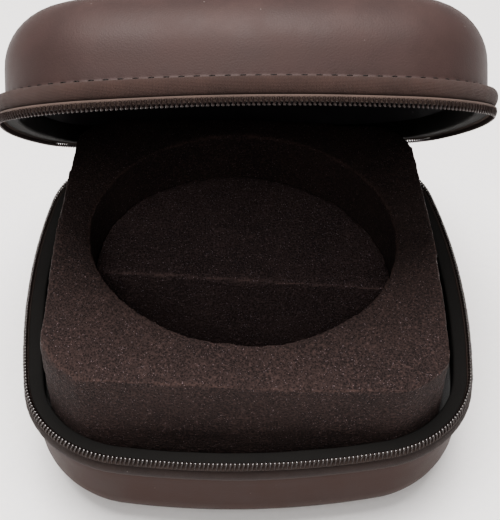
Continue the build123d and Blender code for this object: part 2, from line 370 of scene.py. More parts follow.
def cup_rows(half, inset, depth, rounding, heights, worn=False, leans=False):
    """Rows of one face of a cup, from its rim over the rounding to the middle of its closed end."""
    rows = [(inset + (half.leaning(h) if leans else 0), h, 1.0, 0.0) for h in heights]
    inset += half.lean if leans else 0
    for angle in np.linspace(0, math.pi / 2, 13)[1:]:
        wear = math.sin(2 * angle) if worn else 0.0
        across, down = rounding * (1 - math.cos(angle)), rounding * (1 - math.sin(angle))
        rows.append((inset + across, depth - down, 1.0, wear))
    for scale in (0.94, 0.86, 0.76, 0.64, 0.5, 0.36, 0.22, 0.1):
        rows.append((inset + rounding, depth + half.crown * (1 - scale**2), scale, 0.0))
    return rows


def tube(path, radii, sides, squash=1.0, rubbed=None):
    """Points, faces and rubbed values of a short tube with closed ends along a bent path."""
    path = [Vector(p) for p in path]
    points, faces = [], []
    for k, (here, radius) in enumerate(zip(path, radii)):
        ahead = path[min(k + 1, len(path) - 1)] - path[max(k - 1, 0)]
        side = Vector((1, 0, 0)) if abs(ahead.normalized().x) < 0.8 else Vector((0, 0, 1))
        first = ahead.cross(side).normalized() * radius
        second = first.cross(ahead).normalized() * radius * squash
        for angle in np.arange(sides) * (2 * math.pi / sides):
            points.append(here + first * math.cos(angle) + second * math.sin(angle))
    for k in range(len(path) - 1):
        for s in range(sides):
            t = (s + 1) % sides
            faces.append((k * sides + s, k * sides + t, (k + 1) * sides + t, (k + 1) * sides + s))
    faces.append(tuple(range(sides)))
    faces.append(tuple((len(path) - 1) * sides + s for s in range(sides)))
    return points, faces, np.repeat(rubbed or [0.0] * len(path), sides)


# ---------------------------------------------------------------- node helpers


def connect(tree, node, inputs):
    """Links each input that is given as a socket, and sets the others."""
    for key, value in inputs.items():
        if isinstance(value, bpy.types.NodeSocket):
            tree.links.new(value, node.inputs[key])
        else:
            node.inputs[key].default_value = value


def wire(tree, kind, inputs=None, **settings):
    """Adds a node with its settings and inputs."""
    node = tree.nodes.new(kind)
    node.location = (220 * (len(tree.nodes) % 12), -260 * (len(tree.nodes) // 12))
    for key, value in settings.items():
        setattr(node, key, value)
    connect(tree, node, inputs or {})
    return node


def calc(tree, operation, first, second=0.0, third=0.0):
    node = wire(tree, "ShaderNodeMath", {0: first, 1: second, 2: third}, operation=operation)
    return node.outputs[0]


def ramp(tree, value, low, high):
    """A smooth step of a value, from 0 at low to 1 at high."""
    limits = {"Value": value, "From Min": low, "From Max": high}
    return wire(tree, "ShaderNodeMapRange", limits, interpolation_type="SMOOTHSTEP").outputs["Result"]


def mixed(tree, factor, first, second):
    """Two colours mixed by a mask."""
    first, second = (c if isinstance(c, bpy.types.NodeSocket) else (*c, 1) for c in (first, second))
    return wire(tree, "ShaderNodeMix", {0: factor, 6: first, 7: second}, data_type="RGBA").outputs[2]


def noise_of(tree, vector, scale, detail=3.0, roughness=0.5):
    given = {"Vector": vector, "Scale": scale, "Detail": detail, "Roughness": roughness}
    return wire(tree, "ShaderNodeTexNoise", given).outputs["Fac"]


def group(name, inputs, outputs):
    """An empty shader node group with its named sockets, and its own inputs to wire from."""
    tree = bpy.data.node_groups.new(name, "ShaderNodeTree")
    tree.interface.new_socket("Vector", in_out="INPUT", socket_type="NodeSocketVector")
    for label, default in inputs.items():
        socket = tree.interface.new_socket(label, in_out="INPUT", socket_type="NodeSocketFloat")
        socket.default_value = default
    for label in outputs:
        tree.interface.new_socket(label, in_out="OUTPUT", socket_type="NodeSocketFloat")
    return tree, wire(tree, "NodeGroupInput").outputs


def use_group(tree, maker, **inputs):
    """Places a group, built the first time it is asked for."""
    known = bpy.data.node_groups.get(maker.__name__) or maker()
    node = wire(tree, "ShaderNodeGroup", node_tree=known)
    connect(tree, node, {key.replace("_", " ").capitalize(): value for key, value in inputs.items()})
    return node.outputs


# ---------------------------------------------------------------- rows of repeated parts


def row_tree():
    """Geometry nodes that set copies of a small part along a line, turned with it and a little uneven."""
    known = bpy.data.node_groups.get("row_along_line")
    if known:
        return known
    tree = bpy.data.node_groups.new("row_along_line", "GeometryNodeTree")
    kinds = ["Geometry", "Object", "Int", "Float", "Float", "Int", "Material"]
    for label, kind in zip(("Line", "Part", "Count", "Lean", "Unevenness", "Seed", "Finish"), kinds):
        tree.interface.new_socket(label, in_out="INPUT", socket_type="NodeSocket" + kind)
    tree.interface.new_socket("Row", in_out="OUTPUT", socket_type="NodeSocketGeometry")
    given = wire(tree, "NodeGroupInput").outputs
    line = wire(
        tree, "GeometryNodeResampleCurve", {"Curve": given["Line"], "Count": given["Count"]}, mode="COUNT"
    )
    tangent = wire(tree, "GeometryNodeInputTangent").outputs["Tangent"]
    facing = wire(
        tree, "FunctionNodeAlignRotationToVector", {"Vector": tangent}, axis="X", pivot_axis="Z"
    )
    least = calc(tree, "MULTIPLY", given["Unevenness"], -1.0)
    least = wire(tree, "ShaderNodeCombineXYZ", {k: least for k in "XYZ"}).outputs[0]
    most = wire(tree, "ShaderNodeCombineXYZ", {k: given["Unevenness"] for k in "XYZ"}).outputs[0]
    limits = {"Min": least, "Max": most, "Seed": given["Seed"]}
    jitter = wire(tree, "FunctionNodeRandomValue", limits, data_type="FLOAT_VECTOR").outputs["Value"]
    lean = wire(tree, "ShaderNodeCombineXYZ", {"X": given["Lean"]}).outputs[0]
    both = wire(tree, "ShaderNodeVectorMath", {0: lean, 1: jitter}, operation="ADD").outputs[0]
    turn = wire(tree, "FunctionNodeEulerToRotation", {"Euler": both}).outputs["Rotation"]
    turned = {"Rotation": facing.outputs["Rotation"], "Rotate By": turn}
    rotation = wire(tree, "FunctionNodeRotateRotation", turned, rotation_space="LOCAL")
    part = wire(tree, "GeometryNodeObjectInfo", {"Object": given["Part"]})
    copies = wire(
        tree,
        "GeometryNodeInstanceOnPoints",
        {
            "Points": line.outputs["Curve"],
            "Instance": part.outputs["Geometry"],
            "Rotation": rotation.outputs["Rotation"],
        },
    )
    real = wire(tree, "GeometryNodeRealizeInstances", {"Geometry": copies.outputs["Instances"]})
    painted = {"Geometry": real.outputs["Geometry"], "Material": given["Finish"]}
    finished = wire(tree, "GeometryNodeSetMaterial", painted)
    wire(tree, "NodeGroupOutput", {"Row": finished.outputs["Geometry"]})
    return tree


def row_along(name, half, ring, inset, height, part, count, lean, unevenness, seed, material):
    """Runs the row's nodes on the flat outline, and puts the result in its place on the half."""
    flat = ring.points(inset)
    line = bpy.data.curves.new(name + "_line", "CURVE")
    line.dimensions = "3D"
    spline = line.splines.new("POLY")
    spline.points.add(len(flat) - 1)
    for point, (x, y) in zip(spline.points, flat):
        point.co = (x, y, 0, 1)
    spline.use_cyclic_u = ring.closed
    carrier = placed(name + "_line", line)
    points, faces, rubbed = part
    small = bpy.data.meshes.new(name + "_part")
    small.from_pydata([tuple(p) for p in points], [], faces)
    small.shade_smooth()
    mark_edges(small, rubbed)
    sample = placed(name + "_part", small)
    modifier = carrier.modifiers.new("Row", "NODES")
    modifier.node_group = row_tree()
    values = {
        "Part": sample,
        "Count": count,
        "Lean": lean,
        "Unevenness": unevenness,
        "Seed": seed,
        "Finish": material,
    }
    for item in modifier.node_group.interface.items_tree:
        if item.in_out == "INPUT" and item.name in values:
            modifier[item.identifier] = values[item.name]
    mesh = modified_mesh(carrier)
    bpy.data.objects.remove(carrier)
    bpy.data.objects.remove(sample)
    points = np.zeros(len(mesh.vertices) * 3)
    mesh.vertices.foreach_get("co", points)
    points = points.reshape(-1, 3)
    points[:, 2] = height - points[:, 2]
    mesh.vertices.foreach_set("co", half.place(points).ravel())
    turn_outward(mesh)
    mesh.name = name
    return placed(name, mesh)


# ---------------------------------------------------------------- shared shader groups


def moulded_grain():
    """Fine pebbled grain of a moulded skin, and the slow mottling of its colour."""
    tree, given = group("moulded_grain", {"Size": 0.0006, "Patch": 0.02}, ["Height", "Mottle", "Fine"])
    scale = calc(tree, "DIVIDE", 1.0, given["Size"])
    cells = wire(
        tree,
        "ShaderNodeTexVoronoi",
        {"Vector": given["Vector"], "Scale": scale, "Smoothness": 0.6},
        feature="SMOOTH_F1",
    ).outputs["Distance"]
    fine = noise_of(tree, given["Vector"], calc(tree, "MULTIPLY", scale, 1.7), 4.0, 0.6)
    height = calc(tree, "MULTIPLY_ADD", fine, 0.5, calc(tree, "MULTIPLY", cells, -0.6))
    slow = noise_of(tree, given["Vector"], calc(tree, "DIVIDE", 1.0, given["Patch"]), 5.0, 0.62)
    made = {"Height": height, "Mottle": ramp(tree, slow, 0.32, 0.68), "Fine": ramp(tree, fine, 0.35, 0.65)}
    wire(tree, "NodeGroupOutput", made)
    return tree


def wear_and_dust():
    """Where edges are rubbed, and where small specks of dust lie."""
    inputs = {"Edge": 0.0, "Wear": 0.5, "Dust": 0.5, "Speck size": 0.003}
    tree, given = group("wear_and_dust", inputs, ["Worn", "Dusty"])
    patches = ramp(tree, noise_of(tree, given["Vector"], 90.0, 6.0, 0.7), 0.42, 0.7)
    worn = calc(tree, "MULTIPLY", calc(tree, "MULTIPLY", given["Edge"], patches), given["Wear"])
    scale = calc(tree, "DIVIDE", 1.0, given["Speck size"])
    cells = wire(tree, "ShaderNodeTexVoronoi", {"Vector": given["Vector"], "Scale": scale}).outputs
    near = ramp(tree, cells["Distance"], 0.06, 0.02)
    chosen = wire(tree, "ShaderNodeSeparateColor", {"Color": cells["Color"]}).outputs["Red"]
    speck = calc(tree, "MULTIPLY", near, ramp(tree, chosen, 0.7, 0.75))
    dusty = calc(tree, "MULTIPLY", speck, given["Dust"])
    wire(tree, "NodeGroupOutput", {"Worn": worn, "Dusty": dusty})
    return tree


def woven_threads():
    """Plain weave on a piece's own surface coordinates: threads that pass over and under each other."""
    tree, given = group("woven_threads", {"Thread": 0.0004, "Fuzz": 0.4}, ["Height", "Gap", "Fibre"])
    place = wire(tree, "ShaderNodeSeparateXYZ", {"Vector": given["Vector"]}).outputs
    across = calc(tree, "DIVIDE", place["X"], given["Thread"])
    along = calc(tree, "DIVIDE", place["Y"], given["Thread"])
    warp, weft = (
        calc(tree, "ABSOLUTE", calc(tree, "SINE", calc(tree, "MULTIPLY", way, math.pi)))
        for way in (across, along)
    )
    cell = calc(tree, "ADD", calc(tree, "FLOOR", across), calc(tree, "FLOOR", along))
    over = calc(tree, "FLOORED_MODULO", cell, 2.0)
    under = calc(tree, "SUBTRACT", 1.0, over)
    first, second = (
        calc(tree, "MULTIPLY", calc(tree, "MULTIPLY", a, seen), calc(tree, "MULTIPLY_ADD", b, 0.5, 0.5))
        for a, seen, b in ((warp, over, weft), (weft, under, warp))
    )
    woven = calc(tree, "ADD", first, second)
    fibre = noise_of(tree, given["Vector"], calc(tree, "DIVIDE", 2.6, given["Thread"]), 3.0, 0.6)
    height = calc(tree, "MULTIPLY_ADD", fibre, given["Fuzz"], woven)
    made = {"Height": height, "Gap": ramp(tree, woven, 0.45, 0.1), "Fibre": ramp(tree, fibre, 0.35, 0.68)}
    wire(tree, "NodeGroupOutput", made)
    return tree


def open_cells():
    """Cut face of open-cell foam: dark pores, strands between them and a few specks, which are lit up as
    painted glints.
    """
    tree, given = group("open_cells", {"Cell": 0.0008}, ["Height", "Pore", "Strand", "Speck"])
    scale = calc(tree, "DIVIDE", 1.0, given["Cell"])
    bend = wire(
        tree,
        "ShaderNodeTexNoise",
        {"Vector": given["Vector"], "Scale": calc(tree, "MULTIPLY", scale, 0.8), "Detail": 2.0},
    ).outputs["Color"]
    shift = wire(tree, "ShaderNodeVectorMath", {0: bend, 3: given["Cell"]}, operation="SCALE").outputs[0]
    moved = wire(tree, "ShaderNodeVectorMath", {0: given["Vector"], 1: shift}, operation="ADD").outputs[0]
    big, small = (
        wire(tree, "ShaderNodeTexVoronoi", {"Vector": moved, "Scale": size}).outputs
        for size in (scale, calc(tree, "MULTIPLY", scale, 2.1))
    )
    hole = ramp(tree, big["Distance"], 0.42, 0.18)
    pinhole = calc(tree, "MULTIPLY", ramp(tree, small["Distance"], 0.4, 0.2), 0.55)
    pore = calc(tree, "MAXIMUM", hole, pinhole)
    strand = ramp(tree, big["Distance"], 0.5, 0.85)
    # A few specks, which foam_material lights up as painted glints
    chosen = wire(tree, "ShaderNodeSeparateColor", {"Color": small["Color"]}).outputs["Red"]
    near = ramp(tree, small["Distance"], 0.42, 0.2)
    speck = calc(tree, "MULTIPLY", ramp(tree, chosen, 0.93, 0.96), near)
    height = calc(tree, "MULTIPLY_ADD", pore, -1.0, calc(tree, "MULTIPLY", strand, 0.6))
    wire(tree, "NodeGroupOutput", {"Height": height, "Pore": pore, "Strand": strand, "Speck": speck})
    return tree


# ---------------------------------------------------------------- materials


def blank(name):
    """A new material, its tree, its principled shader and its object coordinates."""
    material = bpy.data.materials.new(name)
    material.use_nodes = True
    tree = material.node_tree
    tree.nodes.clear()
    shader = wire(tree, "ShaderNodeBsdfPrincipled")
    wire(tree, "ShaderNodeOutputMaterial", {"Surface": shader.outputs["BSDF"]})
    return material, tree, shader, wire(tree, "ShaderNodeTexCoord").outputs["Object"]


def feed(tree, shader, height, distance, inputs):
    """Gives a principled shader its bump and its other inputs."""
    bump = wire(tree, "ShaderNodeBump", {"Height": height, "Distance": distance})
    connect(tree, shader, {"Normal": bump.outputs["Normal"], **inputs})


def edge_mask(tree):
    return wire(tree, "ShaderNodeAttribute", attribute_name="edge").outputs["Fac"]


def tinted(base, factor, warm=0.0):
    """A colour made lighter or darker, and a little redder."""
    return (base[0] * factor * (1 + warm), base[1] * factor, base[2] * factor * (1 - warm))


def skin_material(name, tone, gloss, shine):
    """Soft-touch skin; gloss and shine are the strength and the colour of its reflections."""
    material, tree, shader, place = blank(name)
    grain = use_group(tree, moulded_grain, vector=place, size=0.0005, patch=0.016)
    marks = use_group(
        tree, wear_and_dust, vector=place, edge=edge_mask(tree), wear=0.3, dust=0.25, speck_size=0.004
    )
    base = mixed(tree, grain["Mottle"], tinted(tone, 0.88), tinted(tone, 1.08, 0.02))
    base = mixed(tree, calc(tree, "MULTIPLY", grain["Fine"], 0.25), base, tinted(tone, 1.3, 0.03))
    base = mixed(tree, marks["Worn"], base, tinted(tone, 1.7, 0.04))
    rough = calc(tree, "MULTIPLY_ADD", grain["Mottle"], 0.08, 0.55)
    feed(tree, shader, grain["Height"], 0.00005, {
        "Base Color": mixed(tree, marks["Dusty"], base, (0.45, 0.40, 0.38)),
        "Roughness": calc(tree, "MULTIPLY_ADD", marks["Worn"], -0.12, rough),
        "Specular IOR Level": gloss,
        "Specular Tint": (*shine, 1),
    })
    return material


def cloth_material(name, tone, thread, fuzz, depth, sheen=0.03, fleck=0.0):
    """Woven cloth that follows the piece's own surface coordinates."""
    material, tree, shader, place = blank(name)
    surface = wire(tree, "ShaderNodeUVMap", uv_map="surface").outputs["UV"]
    weave = use_group(tree, woven_threads, vector=surface, thread=thread, fuzz=fuzz)
    marks = use_group(tree, wear_and_dust, vector=place, dust=fleck, speck_size=0.004)
    grain = use_group(tree, moulded_grain, vector=place, size=0.0004, patch=0.012)
    base = mixed(tree, grain["Mottle"], tinted(tone, 0.82), tinted(tone, 1.15, 0.02))
    base = mixed(tree, calc(tree, "MULTIPLY", weave["Gap"], 0.75), base, tinted(tone, 0.35))
    base = mixed(tree, calc(tree, "MULTIPLY", weave["Fibre"], 0.35), base, tinted(tone, 1.7, 0.02))
    feed(tree, shader, weave["Height"], depth, {
        "Base Color": mixed(tree, marks["Dusty"], base, (0.42, 0.39, 0.38)),
        "Roughness": calc(tree, "MULTIPLY_ADD", weave["Fibre"], 0.12, 0.78),
        "Sheen Weight": sheen,
        "Sheen Roughness": 0.5,
        "Specular IOR Level": 0.14,
    })
    return material


def lining_material(name, tone):
    """Brushed inner cloth, with a short nap that lies in patches."""
    material, tree, shader, place = blank(name)
    nap = use_group(tree, moulded_grain, vector=place, size=0.00035, patch=0.009)
    marks = use_group(tree, wear_and_dust, vector=place, dust=0.7, speck_size=0.005)
    base = mixed(tree, nap["Mottle"], tinted(tone, 0.75), tinted(tone, 1.25))
    base = mixed(tree, calc(tree, "MULTIPLY", nap["Fine"], 0.5), base, tinted(tone, 2.0))
    feed(tree, shader, nap["Height"], 0.00012, {
        "Base Color": mixed(tree, marks["Dusty"], base, (0.30, 0.29, 0.31)),
        "Roughness": calc(tree, "MULTIPLY_ADD", nap["Fine"], 0.1, 0.85),
        "Sheen Weight": 0.3,
        "Sheen Roughness": 0.4,
        "Specular IOR Level": 0.2,
    })
    return material


def foam_material(name, tone, cell, depth):
    """Cut open-cell foam, with a painted highlight along its cut edges and painted glints on a few specks."""
    material, tree, shader, place = blank(name)
    cells = use_group(tree, open_cells, vector=place, cell=cell)
    grain = use_group(tree, moulded_grain, vector=place, size=0.0009, patch=0.02)
    base = mixed(tree, grain["Mottle"], tinted(tone, 0.85), tinted(tone, 1.18, 0.03))
    base = mixed(tree, cells["Strand"], base, tinted(tone, 1.7, 0.04))
    # Painted highlight where the surface bends at the foam's top edges
    base = mixed(tree, calc(tree, "MULTIPLY", edge_mask(tree), 0.75), base, tinted(tone, 2.6, 0.08))
    base = mixed(tree, calc(tree, "MULTIPLY", cells["Pore"], 0.75), base, tinted(tone, 0.2))
    # Painted glints: a few specks made far lighter than the foam
    painted_glint = calc(tree, "MULTIPLY", cells["Speck"], 0.9)
    feed(tree, shader, cells["Height"], depth, {
        "Base Color": mixed(tree, painted_glint, base, tinted(tone, 15.0, -0.15)),
        "Roughness": calc(tree, "MULTIPLY_ADD", cells["Speck"], -0.35, 0.88),
        "Specular IOR Level": 0.12,
    })
    return material


def teeth_material(name, tone, head_coat_by_light):
    """Dull nylon, with heads that the sliders have polished and a haze that differs from tooth to tooth. The
    heads' coat is set for each half, weaker on the lid's row as painted shade.
    """
    material, tree, shader, place = blank(name)
    head = edge_mask(tree)
    haze = noise_of(tree, place, 500.0)
    rough = calc(tree, "MULTIPLY_ADD", head, -0.3, 0.5)
    feed(tree, shader, noise_of(tree, place, 2500.0, 2.0), 0.00001, {
        "Base Color": mixed(tree, ramp(tree, haze, 0.3, 0.7), tinted(tone, 0.7), tinted(tone, 1.4)),
        "Roughness": calc(tree, "MULTIPLY_ADD", haze, 0.1, rough),
        "Coat Weight": calc(tree, "MULTIPLY", head, head_coat_by_light),
        "Coat Roughness": 0.16,
        "Coat IOR": 1.9,
        "Coat Tint": (1.0, 0.86, 0.83, 1),
        "Specular IOR Level": 0.16,
        "Specular Tint": (1.0, 0.72, 0.66, 1),
    })
    return material


def thread_material(name, tone):
    """Twisted sewing thread."""
    material, tree, shader, place = blank(name)
    given = {"Vector": place, "Scale": 620.0, "Distortion": 1.5, "Detail": 2.0}
    turns = wire(tree, "ShaderNodeTexWave", given, bands_direction="DIAGONAL").outputs["Fac"]
    feed(tree, shader, turns, 0.00008, {
        "Base Color": mixed(tree, turns, tinted(tone, 0.5), tinted(tone, 1.4)),
        "Roughness": calc(tree, "MULTIPLY_ADD", turns, -0.15, 0.75),
        "Specular IOR Level": 0.15,
    })
    return material


def metal_material(name, tone):
    """Black paint over die-cast zinc, rubbed at the edges."""
    material, tree, shader, place = blank(name)
    grain = use_group(tree, moulded_grain, vector=place, size=0.0003, patch=0.003)
    marks = use_group(
        tree, wear_and_dust, vector=place, edge=edge_mask(tree), wear=0.7, dust=0.3, speck_size=0.002
    )
    base = mixed(tree, grain["Mottle"], tinted(tone, 0.8), tinted(tone, 1.3))
    base = mixed(tree, marks["Worn"], base, (0.32, 0.31, 0.30))
    feed(tree, shader, grain["Height"], 0.00002, {
        "Base Color": mixed(tree, marks["Dusty"], base, (0.4, 0.38, 0.37)),
        "Metallic": calc(tree, "MULTIPLY", marks["Worn"], 0.9),
        "Roughness": calc(tree, "MULTIPLY_ADD", grain["Fine"], 0.15, 0.3),
        "Specular IOR Level": 0.35,
    })
    return material


made_materials = {}


def material_of(maker, name, *details):
    """A material, made the first time its name is asked for."""
    if name not in made_materials:
        made_materials[name] = maker(name, *details).name
    return bpy.data.materials[made_materials[name]]


# ---------------------------------------------------------------- the pieces


def both_halves(sizes):
    return [Half("base", sizes), Half("lid", sizes)]


class CASE_OT_skins(bpy.types.Operator):
    """Outer skins of both halves, puckered along the sewn seam"""

    bl_idname = "case.skins"
    bl_label = "Outer skins"

    def execute(self, context):
        sizes, tone = context.scene.case_sizes, context.scene.case_colours.skin
        ring = Outline(sizes).ring(4 * sizes.stitches)
        thick = 0.95 * sizes.skin
        # The base's skin is a darker, redder copy of the lid's, with weaker, redder reflections: painted
        # shade on the base
        lid_and_shaded_base_looks = {
            "base": (tinted(tone, 0.62, 0.17), 0.09, (1.0, 0.65, 0.6)),
            "lid": (tone, 0.21, (1.0, 0.88, 0.86)),
        }
        near_seam = [seam + d for d in (-0.0011, -0.0006, -0.0003, 0, 0.0003, 0.0006, 0.001)]
        outside = [sizes.rim_drop, 0.005, *near_seam, 0.0116, 0.014, 0.0165]
        inside = [sizes.rim_drop, 0.007, 0.008, 0.009, 0.0102, 0.0125, 0.015]

        def pucker(fractions, height):
            near = math.exp(-(((height - seam) / 0.0006) ** 2))
            pull = 0.5 - 0.5 * np.cos(2 * math.pi * sizes.stitches * fractions)
            return near * (0.00030 - 0.00016 * pull)

        for half in both_halves(sizes):
            outer = cup_rows(
                half, sizes.wall_inset, half.depth, half.rounding, outside, worn=True, leans=True
            )
            inner = cup_rows(
                half, sizes.wall_inset + thick, half.depth - thick, half.rounding - thick, inside, leans=True
            )
            piece = shell(half.side + "_skin", half, ring, outer, inner, pucker)
            skin = material_of(skin_material, half.side + "_skin", *lid_and_shaded_base_looks[half.side])
            finish_piece(piece, half.side, skin, "soft_touch_skin", half.side + "_cover")
        return {"FINISHED"}


class CASE_OT_inner_walls(bpy.types.Operator):
    """Moulded foam cores and the brushed cloth that lines them"""

    bl_idname = "case.inner_walls"
    bl_label = "Cores and linings"

    def execute(self, context):
        sizes, colours = context.scene.case_sizes, context.scene.case_colours
        ring = Outline(sizes).ring(240)
        foam = material_of(foam_material, "moulded_core", colours.core, 0.0004, 0.0001)
        cloth = material_of(lining_material, "lining_cloth", colours.lining)
        at_skin = sizes.wall_inset + sizes.skin
        at_core = at_skin + sizes.core
        rim, clear = 0.00245, 0.00002
        walls = [rim, 0.007, 0.008, 0.009, 0.0102, 0.0125, 0.015]
        for half in both_halves(sizes):
            deep = half.depth - sizes.skin
            outer = cup_rows(half, at_skin, deep, half.rounding - sizes.skin, walls, leans=True)
            deep -= sizes.core
            face = cup_rows(half, at_core, deep, sizes.inner_round, walls)
            core = shell(half.side + "_moulded_core", half, ring, outer, face)
            finish_piece(core, half.side, foam, "eva_core", half.side + "_core")
            outer = cup_rows(half, at_core + clear, deep - clear, sizes.inner_round, walls)
            rows = [rim, 0.006, 0.012, 0.018, 0.022]
            thick = sizes.lining
            face = cup_rows(half, at_core + thick, deep - thick, sizes.inner_round - thick, rows)
            lining = shell(half.side + "_inner_cloth", half, ring, outer, face)
            finish_piece(lining, half.side, cloth, "lining_cloth", half.side + "_lining")
        return {"FINISHED"}


class CASE_OT_bindings(bpy.types.Operator):
    """Cloth folded over the rims of both halves"""

    bl_idname = "case.bindings"
    bl_label = "Rim bindings"

    def execute(self, context):
        sizes, colours = context.scene.case_sizes, context.scene.case_colours
        ring = Outline(sizes).ring(420)
        thick, foot, edge = 0.0005, 0.009, sizes.rim_drop + 0.0002
        outer = sizes.wall_inset + 0.0001
        inner = sizes.wall_inset + sizes.skin + sizes.core + sizes.lining
        top = sizes.rim_drop - thick
        quarter = [math.pi / 2 * k / 4 for k in range(5)]
        profile = [(outer, edge), (outer, top + 0.0006)]
        profile += [(outer + 0.0006 * (1 - math.cos(a)), top + 0.0006 * (1 - math.sin(a))) for a in quarter]
        inside = inner + thick
        profile += [(inside - 0.0009 * (1 - math.sin(a)), top + 0.0009 * (1 - math.cos(a))) for a in quarter]
        profile += [(inside + 0.0001, 0.0045), (inside, 0.0068), (inside + 0.00015, foot - 0.0004)]
        profile += [(inside - 0.0001, foot), (inner + 0.0001, foot), (inner + 0.00005, 0.006)]
        profile += [(inner + 0.00005, edge)]

        def wave(fractions, s):
            ripple = np.sin(2 * math.pi * (23 * fractions + s))
            return 0.00008 * ripple * np.sin(2 * math.pi * 7 * fractions)

        cloth = material_of(cloth_material, "binding_cloth", colours.binding, 0.00045, 0.5, 0.00009, 0.0)
        for half in both_halves(sizes):
            piece = swept_ring(half.side + "_edge_binding", half, ring, profile, wave)
            finish_piece(piece, half.side, cloth, "binding_cloth", half.side + "_rim_binding")
        return {"FINISHED"}


class CASE_OT_tapes(bpy.types.Operator):
    """Woven zip tapes, with the ribbed edge that shows between the teeth and the band"""

    bl_idname = "case.tapes"
    bl_label = "Zip tapes"

    def execute(self, context):
        sizes, colours = context.scene.case_sizes, context.scene.case_colours
        ring = Outline(sizes).ring(480, tape_end)
        back, face = sizes.wall_inset, sizes.wall_inset - 0.0007
        profile = [(back, 0.0014), (back, 0.008), (face, 0.008), (face, 0.0036)]
        for k in range(7):
            angle = math.pi * k / 6
            profile.append((face - 0.00115 * math.sin(angle), 0.00278 + 0.00056 * math.cos(angle)))
        profile += [(face, 0.0022), (face + 0.0001, 0.0014)]
        for half in both_halves(sizes):
            # The base's tape is a darker copy of the lid's: painted shade
            tone = tinted(colours.tape, 1.0 if half.is_lid else 0.35)
            tape = material_of(cloth_material, half.side + "_tape_cloth", tone, 0.00035, 0.3, 0.00008)
            piece = swept_ring(half.side + "_tape", half, ring, profile)
            finish_piece(piece, half.side, tape, "zip_tape_cloth", half.side + "_zip_tape")
        return {"FINISHED"}


class CASE_OT_teeth(bpy.types.Operator):
    """Rows of nylon zip teeth, one bent loop for each"""

    bl_idname = "case.teeth"
    bl_label = "Zip teeth"

    def execute(self, context):
        sizes, colours = context.scene.case_sizes, context.scene.case_colours
        outline = Outline(sizes)
        # Outer leg, head and inner leg of one loop: x along the row, y inwards, z towards the zip line
        path = [
            (-0.00034, -0.00030, -0.0026),
            (-0.00030, -0.00050, -0.0019),
            (-0.00014, -0.00048, -0.0011),
            (0.0, -0.00022, -0.00045),
            (0.00012, 0.00032, -0.00055),
            (0.00030, 0.00070, -0.00115),
            (0.00036, 0.00078, -0.0019),
        ]
        radii = [0.00027, 0.00027, 0.00024, 0.00047, 0.00037, 0.00027, 0.00027]
        polished = [0.0, 0.0, 0.15, 1.0, 0.5, 0.0, 0.0]
        part = tube(path, radii, 8, 1.15, polished)
        # The row's end from the middle of the back, its seed, and how bright its heads are: the lid's row
        # gets a weaker coat as painted shade
        rows = {"base": (0.038, 3, 1.0), "lid": (0.0638, 8, 0.08)}
        for half in both_halves(sizes):
            gap, seed, head_coat_by_light = rows[half.side]
            nylon = material_of(teeth_material, half.side + "_nylon", colours.teeth, head_coat_by_light)
            count = round(2 * (outline.half_length - gap) / sizes.tooth_pitch)
            name, lean = half.side + "_teeth", math.radians(-12)
            ring = outline.ring(600, gap)
            piece = row_along(name, half, ring, -0.0001, 0.0, part, count, lean, 0.035, seed, nylon)
            finish_piece(piece, half.side, nylon, "zip_coil_nylon", half.side + "_zip_coil")
        return {"FINISHED"}


class CASE_OT_bands(bpy.types.Operator):
    """Rolled trim bands that hide the tape's sewn edge"""

    bl_idname = "case.bands"
    bl_label = "Trim bands"

    def execute(self, context):
        sizes, colours = context.scene.case_sizes, context.scene.case_colours
        ring = Outline(sizes).ring(516)
        # From the seam over the roll to the teeth, then back along the tape
        profile = [
            (0.0013, 0.0086),
            (-0.0001, 0.0087),
            (-0.0007, 0.00855),
            (-0.00105, 0.00815),
            (-0.00138, 0.0075),
            (-0.00158, 0.0067),
            (-0.00155, 0.0058),
            (-0.00132, 0.0049),
            (-0.00098, 0.0042),
            (-0.0006, 0.0036),
            (-0.0001, 0.00335),
            (0.0001, 0.0036),
            (0.0001, 0.006),
            (0.0011, 0.0078),
        ]

        def wave(fractions, s):
            slow = np.sin(2 * math.pi * (5 * fractions + 0.3)) + np.sin(2 * math.pi * (13 * fractions + s))
            sewn = np.cos(2 * math.pi * sizes.stitches * fractions)
            return 0.00006 * slow + 0.00004 * sewn

        for half in both_halves(sizes):
            # The lid's band is a lighter copy of the cloth and the base's a darker one: painted light and
            # painted shade
            tone = tinted(colours.band, 1.75 if half.is_lid else 0.85, 0.05)
            name = half.side + "_band"
            cloth = material_of(cloth_material, name + "_cloth", tone, 0.0004, 0.8, 0.00014, 0.04, 0.3)
            piece = swept_ring(name, half, ring, profile, wave)
            finish_piece(piece, half.side, cloth, "band_cloth", half.side + "_trim_band")
        return {"FINISHED"}


class CASE_OT_threads(bpy.types.Operator):
    """Sewn seams beside the bands: one short arched stitch after another, sunk in the skin"""

    bl_idname = "case.threads"
    bl_label = "Stitches"

    def execute(self, context):
        sizes, colours = context.scene.case_sizes, context.scene.case_colours
        ring = Outline(sizes).ring(4 * sizes.stitches)
        # One half of a stitch: how far along, how deep and how thick beside the thread's own radius
        arch = [(0.0003, 0.00012, 1), (0.00075, 0.00024, 0.9), (0.00105, 0.0007, 0.7)]
        stitch = [(-x, y, r) for x, y, r in reversed(arch)] + arch
        radii = [sizes.thread / 2 * r for _, _, r in stitch]
        part = tube([(x, y, 0) for x, y, _ in stitch], radii, 6)
        thread = material_of(thread_material, "sewing_thread", colours.thread)
        for half, seed in zip(both_halves(sizes), (5, 6)):
            name, inset = half.side + "_thread", sizes.wall_inset + 0.0001 + half.leaning(seam)
            piece = row_along(
                name, half, ring, inset, seam, part, sizes.stitches, 0.0, 0.05, seed, thread
            )
            finish_piece(piece, half.side, thread, "sewing_thread", half.side + "_stitching")
        return {"FINISHED"}


